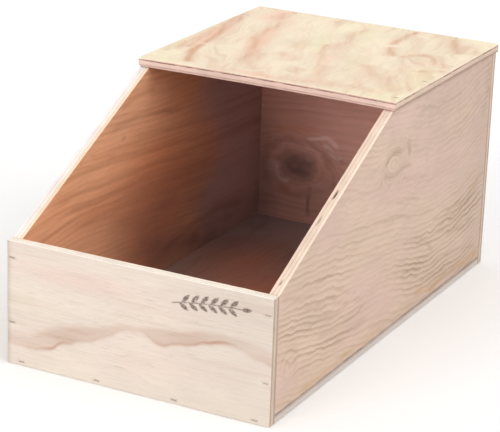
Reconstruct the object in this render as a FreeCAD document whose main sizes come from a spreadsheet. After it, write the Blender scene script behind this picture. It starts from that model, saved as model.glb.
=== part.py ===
"""Plywood nest box for rabbits: six boards held together with narrow-crown staples.

The row frame has its origin on the ground, under the middle of the box. +Z is up, the open mouth
faces -Y, and +X is to the right of someone who stands in front of the mouth.
The front board and the back board cover the ends of the two sides. The floor board lies between
them, under the sides. The roof board covers the back half. Nothing moves.
"""

import FreeCAD, Part
import Sketcher
import os

# Every size that drives the model, in millimetres, or as a plain count.
DRIVING_SIZES = {
    "box_width": 254.0,
    "box_length": 457.0,
    "box_height": 223.0,
    "front_height": 112.0,
    "wall_ply": 9.5,
    "roof_ply": 8.0,
    "floor_ply": 6.4,
    "roof_depth": 241.0,
    "roof_side_overhang": 2.0,
    "roof_front_overhang": 2.5,
    "staple_crown": 6.4,
    "staple_leg": 25.0,
    "staple_point": 1.6,
    "wire_width": 1.3,
    "wire_depth": 1.0,
    "corner_inset": 14.0,
    "front_row_low": 38.0,
    "front_row_span": 59.0,
    "front_row_count": 2,
    "back_row_low": 34.0,
    "back_row_span": 140.0,
    "back_row_count": 3,
    "edge_row_count": 4,
    "roof_row_inset": 16.0,
    "roof_row_span": 186.0,
    "roof_row_count": 4,
    "roof_back_inset": 40.0,
    "roof_back_count": 3,
    "floor_row_inset": 45.0,
    "floor_row_count": 5,
}

START, END = 1, 2  # the two ends of a sketch line
SKETCH_ORIGIN = (-1, 1)
ACROSS_AXIS, UP_AXIS = -1, -2

doc = FreeCAD.newDocument("nest_box")
sheet = doc.addObject("Spreadsheet::Sheet", "dims")
sheet.Label = "dims"
for row, (alias, size) in enumerate(DRIVING_SIZES.items(), start=1):
    sheet.set(f"A{row}", alias)
    sheet.set(f"B{row}", str(size))
    sheet.setAlias(f"B{row}", alias)
doc.recompute()


# Places and lengths that several pieces share, as expressions on the sheet.
FRONT_FACE = "-dims.box_length / 2"
BACK_FACE = "dims.box_length / 2"
BEHIND_FRONT = "-dims.box_length / 2 + dims.wall_ply"
INSIDE_LENGTH = "dims.box_length - 2 * dims.wall_ply"
WALL_TOP = "dims.box_height - dims.roof_ply"
ROOF_FRONT = "dims.box_length / 2 - dims.roof_depth"
LEFT_EDGE_MIDDLE = "-(dims.box_width - dims.wall_ply) / 2"
RIGHT_EDGE_MIDDLE = "(dims.box_width - dims.wall_ply) / 2"


def origin_feature(body, role):
    """One of the planes or axes of a body's own origin."""
    return next(f for f in body.Origin.OriginFeatures if f.Role == role)


def hold(sketch, line, direction, expression):
    """Holds the start of a sketch line at a distance from the sketch's origin, bound to the sheet."""
    if expression == "0":
        axis = UP_AXIS if direction == "X" else ACROSS_AXIS
        sketch.addConstraint(Sketcher.Constraint("PointOnObject", line, START, axis))
        return
    size = sheet.evalExpression(expression)
    index = sketch.addConstraint(
        Sketcher.Constraint(f"Distance{direction}", *SKETCH_ORIGIN, line, START, size)
    )
    sketch.setExpression(f"Constraints[{index}]", expression)


def outline(body, role, corners):
    """A closed straight-sided outline on an origin plane, with each corner bound to the sheet."""
    sketch = body.newObject("Sketcher::SketchObject", f"{body.Name}_outline")
    sketch.AttachmentSupport = [(origin_feature(body, role), "")]
    sketch.MapMode = "FlatFace"
    places = [
        FreeCAD.Vector(sheet.evalExpression(across), sheet.evalExpression(up), 0)
        for across, up in corners
    ]
    following = places[1:] + places[:1]
    for start, end in zip(places, following):
        sketch.addGeometry(Part.LineSegment(start, end), False)
    for line in range(len(places)):
        next_line = (line + 1) % len(places)
        sketch.addConstraint(Sketcher.Constraint("Coincident", line, END, next_line, START))
    for line, (across, up) in enumerate(corners):
        hold(sketch, line, "X", across)
        hold(sketch, line, "Y", up)
    return sketch


def place(piece, across, along, up):
    """Binds a piece's position to the sheet."""
    for axis, expression in (("x", across), ("y", along), ("z", up)):
        piece.setExpression(f".Placement.Base.{axis}", expression)


def board_blank(name, role, corners, thickness, position):
    """A board before its staples are driven: one outline, padded by the plywood's thickness."""
    body = doc.addObject("PartDesign::Body", f"{name}_blank")
    pad = body.newObject("PartDesign::Pad", f"{name}_thickness")
    pad.Profile = outline(body, role, corners)
    pad.setExpression("Length", thickness)
    body.Tip = pad
    place(body, *position)
    return body


def rectangle(across, up):
    """The corners of a rectangle that starts at the sketch's origin."""
    return [("0", "0"), (across, "0"), (across, up), ("0", up)]


def front_board():
    """The low board across the mouth. A pad on the XZ plane grows towards -Y."""
    corners = rectangle("dims.box_width", "dims.front_height")
    position = ("-dims.box_width / 2", BEHIND_FRONT, "0")
    return board_blank("front_board", "XZ_Plane", corners, "dims.wall_ply", position)


def back_board():
    """The board across the back, as high as the sides."""
    corners = rectangle("dims.box_width", WALL_TOP)
    position = ("-dims.box_width / 2", BACK_FACE, "0")
    return board_blank("back_board", "XZ_Plane", corners, "dims.wall_ply", position)


def side_board(name, across):
    """A side: full height under the roof, then cut on a slope down to the top of the front board."""
    height = f"{WALL_TOP} - dims.floor_ply"
    slope_run = f"{ROOF_FRONT} + dims.roof_front_overhang - ({BEHIND_FRONT})"
    corners = [
        ("0", "0"),
        (INSIDE_LENGTH, "0"),
        (INSIDE_LENGTH, height),
        (slope_run, height),
        ("0", "dims.front_height - dims.floor_ply"),
    ]
    position = (across, BEHIND_FRONT, "dims.floor_ply")
    return board_blank(name, "YZ_Plane", corners, "dims.wall_ply", position)


def roof_board():
    """The roof over the back half, a little proud of the sides and of the slope's top end."""
    across = "dims.box_width + 2 * dims.roof_side_overhang"
    corners = rectangle(across, "dims.roof_depth")
    position = (f"-({across}) / 2", ROOF_FRONT, WALL_TOP)
    return board_blank("roof_board", "XY_Plane", corners, "dims.roof_ply", position)


def floor_board():
    """The thin floor, under both sides and between the front and the back."""
    corners = rectangle("dims.box_width", INSIDE_LENGTH)
    position = ("-dims.box_width / 2", BEHIND_FRONT, "0")
    return board_blank("floor_board", "XY_Plane", corners, "dims.floor_ply", position)


def staple_row(name, face, row_axis, span, count, position):
    """A row of equal staples, driven flush into one face of the box.

    In the row's own frame the crown lies along X with its outside at Z = 0, and the legs point
    down -Z. The face then turns that frame onto the box. The legs end in chisel points.
    """
    half = "dims.staple_crown / 2"
    inner = f"{half} - dims.wire_depth"
    shoulder = "-(dims.staple_leg - dims.staple_point)"
    corners = [
        (f"-{half}", "0"),
        (half, "0"),
        (half, "-dims.staple_leg"),
        (inner, shoulder),
        (inner, "-dims.wire_depth"),
        (f"-({inner})", "-dims.wire_depth"),
        (f"-({inner})", shoulder),
        (f"-{half}", "-dims.staple_leg"),
    ]
    body = doc.addObject("PartDesign::Body", name)
    body.Label = name
    body.AllowCompound = True
    pad = body.newObject("PartDesign::Pad", f"{name}_wire")
    pad.Profile = outline(body, "XZ_Plane", corners)
    pad.setExpression("Length", "dims.wire_width")
    pad.SideType = "Symmetric"
    doc.recompute()
    row = body.newObject("PartDesign::LinearPattern", f"{name}_row")
    row.Originals = [pad]
    row.Direction = (origin_feature(body, row_axis), [""])
    row.setExpression("Length", span)
    row.setExpression("Occurrences", count)
    body.Tip = row
    body.Placement = FreeCAD.Placement(FreeCAD.Vector(), FACE_TURNS[face])
    place(body, *position)
    return body


# How a staple row's frame turns onto each face of the box. A row along its own Y then runs up the
# front and the back, and backwards along the roof and the underside.
FACE_TURNS = {
    "front": FreeCAD.Rotation(FreeCAD.Vector(1, 0, 0), 90),
    "back": FreeCAD.Rotation(FreeCAD.Vector(0, 1, 1), 180),
    "roof": FreeCAD.Rotation(),
    "underside": FreeCAD.Rotation(FreeCAD.Vector(0, 1, 0), 180),
}


def side_rows(face, height, span, count, along, up):
    """The two matching rows of one face that go into the edges of the left and the right side."""
    return [
        staple_row(f"staples_{face}_{hand}", height, "Y_Axis", span, count, (across, along, up))
        for hand, across in (("left", LEFT_EDGE_MIDDLE), ("right", RIGHT_EDGE_MIDDLE))
    ]


def finish_board(blank, staples):
    """Cuts the seats of the staples that pass through a board, and names the finished board."""
    name = blank.Name.removesuffix("_blank")
    seats = doc.addObject("Part::Compound", f"{name}_seats")
    seats.Links = staples
    board = doc.addObject("Part::Cut", name)
    board.Label = name
    board.Base = blank
    board.Tool = seats
    return board


# Staples through the front board, into the sides and into the floor.
front_left, front_right = side_rows(
    "front", "front", "dims.front_row_span", "dims.front_row_count", FRONT_FACE, "dims.front_row_low"
)
edge_span = "dims.box_width - 2 * dims.corner_inset"
front_floor = staple_row(
    "staples_front_floor",
    "front",
    "X_Axis",
    edge_span,
    "dims.edge_row_count",
    ("-dims.box_width / 2 + dims.corner_inset", FRONT_FACE, "dims.floor_ply / 2"),
)

# Staples through the back board, into the sides and into the floor. The lower row runs towards -X.
back_left, back_right = side_rows(
    "back", "back", "dims.back_row_span", "dims.back_row_count", BACK_FACE, "dims.back_row_low"
)
back_floor = staple_row(
    "staples_back_floor",
    "back",
    "X_Axis",
    edge_span,
    "dims.edge_row_count",
    ("dims.box_width / 2 - dims.corner_inset", BACK_FACE, "dims.floor_ply / 2"),
)

# Staples through the roof, into the sides and into the back board.
roof_left, roof_right = side_rows(
    "roof",
    "roof",
    "dims.roof_row_span",
    "dims.roof_row_count",
    f"{ROOF_FRONT} + dims.roof_row_inset",
    "dims.box_height",
)
roof_back = staple_row(
    "staples_roof_back",
    "roof",
    "X_Axis",
    "dims.box_width - 2 * dims.roof_back_inset",
    "dims.roof_back_count",
    ("-dims.box_width / 2 + dims.roof_back_inset", f"{BACK_FACE} - dims.wall_ply / 2", "dims.box_height"),
)

# Staples through the floor from below, into the sides.
floor_left, floor_right = side_rows(
    "floor",
    "underside",
    "dims.box_length - 2 * dims.floor_row_inset",
    "dims.floor_row_count",
    f"{FRONT_FACE} + dims.floor_row_inset",
    "0",
)
doc.recompute()

boards = [
    finish_board(front_board(), [front_left, front_right, front_floor]),
    finish_board(back_board(), [back_left, back_right, back_floor, roof_back]),
    finish_board(
        side_board("left_side", "-dims.box_width / 2"),
        [front_left, back_left, roof_left, floor_left],
    ),
    finish_board(
        side_board("right_side", "dims.box_width / 2 - dims.wall_ply"),
        [front_right, back_right, roof_right, floor_right],
    ),
    finish_board(roof_board(), [roof_left, roof_right, roof_back]),
    finish_board(floor_board(), [front_floor, back_floor, floor_left, floor_right]),
]
staple_rows = [
    front_left,
    front_right,
    front_floor,
    back_left,
    back_right,
    back_floor,
    roof_left,
    roof_right,
    roof_back,
    floor_left,
    floor_right,
]
doc.recompute()

for item in doc.Objects:
    if "Invalid" in item.State or "Error" in item.State:
        raise RuntimeError(f"{item.Label} did not compute: {item.State}")
os.makedirs("parts", exist_ok=True)
for piece in boards + staple_rows:
    if piece.Shape.isNull() or not piece.Shape.isValid():
        raise RuntimeError(f"{piece.Label} has no valid shape")
for piece in boards + staple_rows:
    piece.Shape.exportStep(f"parts/{piece.Label}.step")
    box = piece.Shape.BoundBox
    print(
        f"{piece.Label}: {len(piece.Shape.Solids)} solid(s), "
        f"{box.XLength:.1f} x {box.YLength:.1f} x {box.ZLength:.1f} mm, "
        f"{piece.Shape.Volume / 1000:.2f} cm3"
    )
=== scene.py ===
"""The looks of a plywood nest box: six boards with veneer figure, ply edges and sunk staples.

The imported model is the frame. Every board and staple is built again here as a finished mesh in the
place of its CAD node. Shapes and figures are worked out in millimetres, in the frame's own axes.
"""

import math

import bpy
import numpy as np
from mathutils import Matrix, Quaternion, Vector


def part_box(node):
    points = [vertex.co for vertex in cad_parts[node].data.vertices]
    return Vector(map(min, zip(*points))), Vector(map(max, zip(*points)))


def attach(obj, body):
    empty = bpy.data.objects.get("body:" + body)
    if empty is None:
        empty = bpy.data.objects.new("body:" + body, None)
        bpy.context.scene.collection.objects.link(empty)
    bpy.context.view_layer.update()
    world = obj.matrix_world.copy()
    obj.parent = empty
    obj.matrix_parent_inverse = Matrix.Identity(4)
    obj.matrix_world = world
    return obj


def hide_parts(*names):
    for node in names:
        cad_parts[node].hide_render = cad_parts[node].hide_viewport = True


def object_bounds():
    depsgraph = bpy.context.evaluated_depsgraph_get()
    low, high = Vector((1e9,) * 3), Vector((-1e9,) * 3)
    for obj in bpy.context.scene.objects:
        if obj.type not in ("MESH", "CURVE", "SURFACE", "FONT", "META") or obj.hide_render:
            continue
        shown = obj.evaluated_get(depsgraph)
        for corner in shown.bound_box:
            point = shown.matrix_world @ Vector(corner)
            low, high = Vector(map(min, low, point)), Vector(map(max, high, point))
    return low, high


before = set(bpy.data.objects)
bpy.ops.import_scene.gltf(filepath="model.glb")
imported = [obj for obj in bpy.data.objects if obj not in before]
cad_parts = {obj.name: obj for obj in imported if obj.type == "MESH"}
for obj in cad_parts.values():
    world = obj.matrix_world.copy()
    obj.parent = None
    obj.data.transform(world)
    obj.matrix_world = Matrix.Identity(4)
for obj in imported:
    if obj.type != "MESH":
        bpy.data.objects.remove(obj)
cad_low, cad_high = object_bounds()

MM = 0.001
X, Y, Z = 0, 1, 2
WALL, ROOF, FLOOR = "wall_plywood", "roof_plywood", "floor_plywood"
WALL_FACE_PLY, THIN_FACE_PLY = 2.9, 1.7


def box_mm(node):
    """Lowest and highest corner of a CAD node, in millimetres."""
    low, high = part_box(node)
    return np.array(low) / MM, np.array(high) / MM


def points_mm(node):
    """The corner points of a CAD node's faces, in millimetres."""
    return np.array([v.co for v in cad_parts[node].data.vertices]) / MM


def thickness_mm(node):
    """Thickness of a board, which is its smallest size, in millimetres."""
    low, high = box_mm(node)
    return round(float(min(high - low)), 3)


FRONT_LOW, FRONT_HIGH = box_mm("front_board")
SIDE_LOW, SIDE_HIGH = box_mm("right_side")
ROOF_LOW = box_mm("roof_board")[0]
SIDE_POINTS = points_mm("right_side")
SLOPE_TOP_Y = SIDE_POINTS[SIDE_POINTS[:, Z] > SIDE_HIGH[Z] - 0.01][:, Y].min()
SLOPE_LOW_Z = FRONT_HIGH[Z]
WALL_THICK, ROOF_THICK, FLOOR_THICK = map(thickness_mm, ("right_side", "roof_board", "floor_board"))


# ---- noise and drawn figure

NOISE_CELLS = 97


def soft_noise(seed, u, v):
    """Smooth noise from -1 to 1 with one cell to each unit of u and v."""
    table = np.random.RandomState(seed).uniform(-1, 1, (NOISE_CELLS, NOISE_CELLS))
    iu, iv = np.floor(u).astype(int), np.floor(v).astype(int)
    fu, fv = u - iu, v - iv
    su, sv = fu * fu * (3 - 2 * fu), fv * fv * (3 - 2 * fv)

    def corner(du, dv):
        return table[(iu + du) % NOISE_CELLS, (iv + dv) % NOISE_CELLS]

    low = corner(0, 0) * (1 - su) + corner(1, 0) * su
    high = corner(0, 1) * (1 - su) + corner(1, 1) * su
    return low * (1 - sv) + high * sv


def layered_noise(seed, u, v, octaves=3):
    """Soft noise with finer and fainter layers on top."""
    layers = [soft_noise(seed + k, u * 2**k, v * 2**k) * 0.5**k for k in range(octaves)]
    return sum(layers)


def straight_step(x, start, end):
    """0 before start, 1 after end and straight between them."""
    return np.clip((x - start) / (end - start), 0, 1)


def smooth_step(x, start, end):
    """0 before start, 1 after end, and an even S between them."""
    t = straight_step(x, start, end)
    return t * t * (3 - 2 * t)


def patches(seed, u, v, start, end):
    """Scattered patches, 0 where the layered noise is under start and 1 where it is over end."""
    return smooth_step(layered_noise(seed, u, v), start, end)


def smooth_path(points, spacing=1.5):
    """Close points along a Catmull-Rom curve through the given ones."""
    p = np.array(points, float)
    p = np.vstack([2 * p[0] - p[1], p, 2 * p[-1] - p[-2]])
    parts = []
    for a, b, c, d in zip(p, p[1:], p[2:], p[3:]):
        count = max(2, int(np.hypot(*(c - b)) / spacing))
        t = np.arange(count)[:, None] / count
        bend = (c - a) * t + (2 * a - 5 * b + 4 * c - d) * t**2 + (3 * b - a - 3 * c + d) * t**3
        parts.append(b + bend / 2)
    parts.append(p[-2:-1])
    return np.vstack(parts)


def stroke(u, v, points, crisp, soft, fade):
    """Tone of one latewood line, 0 to 1: it fades over `crisp` on its right and `soft` on its left."""
    path = smooth_path(points)
    reach = 3 * max(crisp, soft)
    low, high = path.min(0) - reach, path.max(0) + reach
    near = np.flatnonzero((u > low[0]) & (u < high[0]) & (v > low[1]) & (v < high[1]))
    tone = np.zeros(len(u))
    if not len(near):
        return tone
    pu = u[near] + 0.8 * soft_noise(5, u[near] / 14, v[near] / 9)
    pv = v[near] + 0.8 * soft_noise(6, u[near] / 17, v[near] / 9)
    gap = (pu[:, None] - path[:, 0]) ** 2 + (pv[:, None] - path[:, 1]) ** 2
    k = gap.argmin(1)
    tangent = np.gradient(path, axis=0)
    tangent /= np.hypot(tangent[:, 0], tangent[:, 1])[:, None]
    side = tangent[k, 0] * (pv - path[k, 1]) - tangent[k, 1] * (pu - path[k, 0])
    away = np.sqrt(gap[np.arange(len(k)), k])
    away = np.where(side > 0, away / soft, away / crisp)
    place = k / (len(path) - 1)
    ends = smooth_step(place, -0.001, fade) * smooth_step(1 - place, -0.001, fade)
    tone[near] = np.exp(-(away**1.6)) * ends
    return tone


def strokes(u, v, drawn, fade=0.14):
    """The darkest tone of several strokes, each (strength, crisp, soft, points)."""
    tone = np.zeros(len(u))
    for strength, crisp, soft, points in drawn:
        tone = np.maximum(tone, strength * stroke(u, v, points, crisp, soft, fade))
    return tone


def eye(u, v, centre, half):
    """Distance from a knot's centre in units of its half sizes along and across the grain."""
    return np.hypot((u - centre[0]) / half[0], (v - centre[1]) / half[1])


def blot(u, v, centre, half, power=2):
    """A soft oval spot: 1 in its middle, and about a third at its half sizes."""
    return np.exp(-(eye(u, v, centre, half) ** power))


# ---- the figure of each face
# Each function takes points along (u) and across (v) the grain in millimetres. It returns the
# growth-ring count, the tone of strong latewood, the tone of stains and painted shade, the tint
# (+ pink, - yellow) and how boldly the rings show.


def plain_figure(seed, spacing, swing):
    """A function for a quiet rotary-cut face: level rings that a slow noise bends."""

    def figure(u, v):
        bend = layered_noise(seed, u / 170, v / 60)
        ring = (v + swing * bend) / spacing + 0.35 * soft_noise(seed + 7, u / 40, v / 9)
        tone = 0.35 * patches(seed + 11, u / 120, v / 16, 0.35, 1.1)
        stain_and_shade = 0.15 * patches(seed + 17, u / 90, v / 70, 0.5, 1.2)
        tint = 0.45 * layered_noise(seed + 23, u / 130, v / 60, 2)
        return ring, tone, stain_and_shade, tint, np.ones(len(u))

    return figure


FRONT_LINE = [(-131, 22), (-111, 19), (-89, 21), (-81, 23), (-74, 29), (-63, 33), (-34, 43), (-15, 54)]
FRONT_LINE += [(0, 58), (12, 56), (24, 51), (52, 57), (78, 64), (98, 64), (112, 58), (131, 55)]
FRONT_SHADE = [(-131, 27), (-103, 31), (-83, 40), (-58, 48), (-34, 51), (-15, 58), (14, 62)]
FRONT_SHADE += [(42, 66), (74, 71), (97, 71), (120, 67), (131, 64)]


def level_of(u, points):
    """Height of a long line across the board at each u."""
    path = smooth_path(points)
    return np.interp(u, path[:, 0], path[:, 1])


def front_figure(u, v):
    """One long wavy latewood line low on the board, with warm shade above it and quiet rings."""
    line = level_of(u, FRONT_LINE) + 0.9 * soft_noise(31, u / 7, v * 0)
    shade = level_of(u, FRONT_SHADE) + 1.5 * soft_noise(32, u / 15, v / 6)
    above = v - line
    inside = smooth_step(above, -0.9, 0.9) * (1 - smooth_step(v - shade, -3, 5))
    strong = 0.34 + 0.26 * np.exp(-(((u + 62) / 34) ** 2)) + 0.20 * np.exp(-(((u - 45) / 34) ** 2))
    streaky = 0.85 + 0.25 * layered_noise(33, u / 60, v / 3.2)
    tone = inside * strong * streaky
    edge = np.exp(-((above / 2.1) ** 2)) * (0.62 + 0.38 * soft_noise(34, u / 26, v * 0))
    tone = np.maximum(tone, edge)
    faint = 0.16 * patches(35, u / 110, v / 4.5, 0.35, 1.2)
    tone = np.maximum(tone, faint)
    bent = line * np.exp(-((above / 45) ** 2))
    ring = (v - bent + 5 * layered_noise(36, u / 150, v / 30)) / 7.5
    # Painted shade: a darker strip along the left end of the board, and a face that grows darker towards the
    # right and its upper right.
    edge_of_board = FRONT_LOW[X] + 3.0
    stain_and_shade = 0.25 * smooth_step(edge_of_board - u, -2.5, 2.5) + 0.07 * smooth_step(u, 10, 100)
    stain_and_shade += 0.08 * blot(u, v, (100, 96), (56, 28))
    tint = blot(u, v, (-62, 90), (62, 11)) + 0.45 * layered_noise(38, u / 80, v / 30, 2)
    tint += 0.5 * blot(u, v, (60, 34), (60, 16))
    return ring, tone, stain_and_shade, tint, np.ones(len(u))


ROOF_STROKES = [
    (0.75, 4.5, 5, [(188, -124), (160, -118), (132, -114), (108, -110), (84, -104), (60, -100)]),
    (0.8, 4, 5, [(70, -103), (52, -99), (34, -95), (10, -87), (-8, -82)]),
    (0.6, 4, 5, [(98, -122), (80, -115), (62, -110), (44, -107)]),
    (0.5, 3.5, 4.5, [(52, -124), (38, -120), (24, -118)]),
    (0.4, 7, 8, [(220, -92), (200, -90), (184, -86)]),
    (0.5, 7, 7, [(214, -126), (170, -124), (130, -121), (90, -119), (50, -116), (26, -112)]),
    (0.45, 9, 10, [
        (200, -76), (168, -74), (140, -73), (112, -68), (88, -60), (64, -52), (40, -44), (10, -34),
    ]),
    (0.6, 7, 8, [(118, -72), (100, -67), (84, -60), (68, -55)]),
    (0.48, 4, 6, [(58, -54), (44, -47), (28, -44)]),
    (0.42, 5, 7, [(72, -46), (50, -36), (30, -30), (6, -20)]),
    (0.32, 4, 5, [(98, -94), (84, -91), (66, -86)]),
    (0.34, 7, 8, [(216, 0), (190, 2), (168, 2), (148, 6), (128, 6), (104, 5), (80, 12), (56, 24)]),
    (0.36, 7, 8, [(66, 24), (44, 32), (24, 40), (4, 48), (-10, 52)]),
    (0.56, 4, 5, [(154, 4), (140, 6), (126, 11)]),
    (0.5, 3, 4, [(138, -3), (118, 0), (98, 4), (84, 8)]),
    (0.34, 3, 4, [(104, 3), (80, 10), (60, 20), (38, 29)]),
    (0.48, 8, 8, [(42, 14), (30, 15), (18, 13)]),
    (0.28, 7, 8, [(128, -30), (114, -27), (100, -24)]),
    (0.78, 4, 4.5, [(226, 47), (206, 46), (190, 44), (174, 43), (158, 47)]),
    (0.62, 5, 6, [(158, 50), (146, 55), (134, 60), (127, 65)]),
    (0.62, 5.5, 6.5, [(124, 66), (134, 73), (145, 82), (148, 90), (141, 99), (131, 106), (122, 114)]),
    (0.4, 4, 6, [(128, 105), (121, 115), (124, 126)]),
    (0.6, 5.5, 6.5, [(224, 87), (206, 93), (190, 100), (178, 107), (170, 116)]),
    (0.42, 5, 6, [(160, 95), (146, 104), (132, 112), (122, 122)]),
    (0.4, 5, 7, [(86, 103), (96, 110), (104, 118), (110, 127)]),
    (0.36, 4, 5, [(206, 118), (188, 122), (170, 127)]),
    (0.46, 6, 7, [(110, 124), (100, 113), (92, 105), (84, 104)]),
    (0.42, 2.5, 4, [(86, 101), (70, 105), (54, 112), (36, 120), (20, 126)]),
    (0.46, 10, 12, [(92, 54), (78, 62), (66, 70), (58, 80), (52, 92), (40, 100), (26, 108), (10, 114)]),
    (0.34, 5, 6, [(76, 60), (56, 68), (36, 74), (16, 82), (-4, 90)]),
    (0.14, 3, 4, [(112, 34), (90, 44), (66, 54), (40, 62), (14, 68)]),
    (0.34, 6, 6, [(22, -66), (6, -60), (-10, -56)]),
    (0.36, 6, 6, [(10, -16), (-2, -12), (-12, -8)]),
    (0.4, 9, 11, [(0, 2), (5, 40), (8, 80), (10, 114)]),
    (0.34, 8, 9, [(150, 98), (136, 106), (118, 112)]),
    (0.3, 9, 9, [(84, -34), (66, -14), (48, -8)]),
    (0.3, 8, 9, [(112, 92), (88, 92), (66, 100)]),
]
ROOF_BLUSH = [
    (1.5, 11, 12, [(186, -122), (150, -114), (110, -112), (70, -108), (40, -104), (10, -92)]),
    (0.8, 22, 22, [(250, -106), (210, -97), (160, -84)]),
    (1.2, 9, 9, [(230, -126), (150, -121), (90, -119), (30, -115)]),
    (1, 14, 14, [(196, -78), (140, -72), (100, -64), (60, -50), (20, -36), (-8, -24)]),
    (0.8, 10, 12, [(216, 2), (150, 6), (100, 14), (50, 30), (0, 50)]),
    (0.8, 12, 12, [(224, 98), (190, 106), (166, 114)]),
    (0.7, 10, 12, [(146, 84), (134, 100), (112, 90), (90, 84)]),
    (0.6, 14, 14, [(80, 66), (40, 84), (0, 96)]),
    (0.7, 7, 9, [(-4, -80), (-3, -40), (-4, 0), (-3, 50)]),
    (0.8, 12, 14, [(6, -10), (9, 30), (10, 60), (8, 104)]),
    (0.5, 16, 16, [(96, -40), (60, -10), (40, 0)]),
]


def roof_figure(u, v):
    """Wild cream and tan figure of a knotty log, whose streaks cross the board on a slant."""
    ragged = 1.15 + 0.50 * layered_noise(41, (u - 0.3 * v) / 34, (v + 0.4 * u) / 5)
    wander = layered_noise(42, u / 80, v / 42)
    drift_u = u + 5 * soft_noise(47, u / 34, v / 26)
    drift_v = v + 3 * soft_noise(48, u / 30, v / 24)
    slant = v + 0.36 * u
    tone = strokes(drift_u, drift_v, ROOF_STROKES) * ragged
    faint = patches(43, u / 60, (slant + 14 * wander) / 9, 0.05, 0.95)
    bright = blot(u, v, (112, 36), (54, 26))
    faint *= 1 - 0.8 * bright
    tone = np.maximum(tone, 0.42 * faint * (0.8 + 0.4 * soft_noise(49, u / 30, v / 30)))
    ring = (slant + 22 * wander) / 8.0 + 0.5 * soft_noise(44, u / 30, v / 12)
    tint = 0.6 * layered_noise(45, u / 60, slant / 36, 2) - 0.6 + 1.6 * strokes(u, v, ROOF_BLUSH, 0.4)
    stain_and_shade = 0.08 * patches(46, u / 60, v / 40, 0.5, 1.2)
    return ring, tone, stain_and_shade, tint, np.ones(len(u))


SIDE_STROKES = [
    (0.6, 0.9, 2.2, [(-219, 107), (-200, 103), (-178, 96), (-154, 91)]),
    (0.45, 0.8, 2.2, [(-196, 112), (-170, 105), (-138, 100), (-110, 96)]),
    (0.55, 0.9, 2.4, [(-136, 82), (-118, 76), (-102, 67), (-82, 60)]),
    (0.5, 0.8, 2, [(-116, 82), (-102, 78), (-88, 71), (-66, 66)]),
    (0.4, 0.8, 2.4, [(-176, 82), (-150, 80), (-128, 72)]),
    (0.45, 0.8, 2.4, [(-178, 63), (-140, 65), (-112, 59), (-80, 60), (-50, 55)]),
    (0.5, 0.9, 2.4, [(-150, 51), (-112, 46), (-72, 45), (-46, 49)]),
    (0.45, 0.9, 2.4, [(-120, 38), (-80, 34), (-40, 32)]),
    (0.55, 1, 2, [(-214, 44), (-206, 54), (-196, 57), (-184, 52), (-178, 42)]),
    (0.45, 1, 2, [(-204, 34), (-203, 46), (-195, 49), (-187, 46), (-186, 34)]),
    (0.8, 0.9, 2.6, [(-30, 160), (-12, 154), (2, 152), (18, 155), (40, 152)]),
    (0.9, 1, 2.6, [(-24, 164), (-16, 171), (-4, 174), (8, 172), (14, 166)]),
    (0.95, 2.6, 4, [(24, 180), (28, 172), (31, 163)]),
    (0.4, 0.9, 2.4, [(12, 147), (34, 141), (60, 134), (84, 130)]),
    (0.35, 0.8, 2.4, [(-46, 121), (-14, 113), (18, 108), (52, 97)]),
    (0.4, 0.8, 2.4, [(-20, 133), (14, 124), (44, 119), (66, 112)]),
    (0.6, 0.9, 2.2, [(22, 80), (44, 77), (62, 70), (78, 61)]),
    (0.6, 0.9, 2.2, [(64, 74), (80, 66), (94, 55), (104, 49)]),
    (0.5, 0.9, 2.2, [(26, 51), (42, 49), (60, 46), (76, 40)]),
    (0.45, 0.9, 2.2, [(60, 53), (78, 52), (92, 47)]),
    (0.6, 0.9, 2.4, [(90, 84), (118, 80), (146, 80), (170, 81), (188, 86), (206, 92)]),
    (0.55, 0.9, 2.4, [(104, 78), (134, 74), (164, 75), (186, 80), (212, 86)]),
    (0.45, 0.9, 2.4, [(98, 70), (128, 66), (160, 67), (190, 72)]),
    (0.5, 1.2, 4, [(128, 58), (150, 56), (174, 53), (196, 56)]),
    (0.5, 1, 3, [(92, 38), (118, 37), (142, 36), (176, 30), (214, 22)]),
    (0.4, 1, 3, [(70, 28), (104, 25), (140, 22)]),
    (0.35, 1, 2.6, [(70, 178), (82, 189), (100, 184), (118, 182)]),
    (0.28, 1, 2.6, [(84, 199), (100, 196), (116, 200)]),
]
SIDE_WARM = [
    (1.25, 5, 7, [(50, 24), (72, 18), (100, 14), (128, 18), (160, 15), (200, 14), (222, 18)]),
    (0.7, 3, 4, [(-216, 13), (-150, 12), (-60, 13), (40, 13), (120, 12)]),
    (0.8, 4, 8, [(176, 84), (194, 88), (212, 96), (222, 104)]),
    (0.6, 4, 7, [(204, 150), (214, 180), (216, 212)]),
]
SIDE_EDDY = (-4, 164)
SIDE_BOLD = [
    (1.05, (-150, 78), (80, 36)),
    (0.8, (-110, 42), (120, 24)),
    (0.6, (0, 132), (70, 32)),
    (1.2, (70, 60), (64, 28)),
    (1.3, (155, 66), (70, 28)),
    (0.95, (120, 26), (120, 18)),
    (1, (0, 166), (32, 22)),
]


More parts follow.
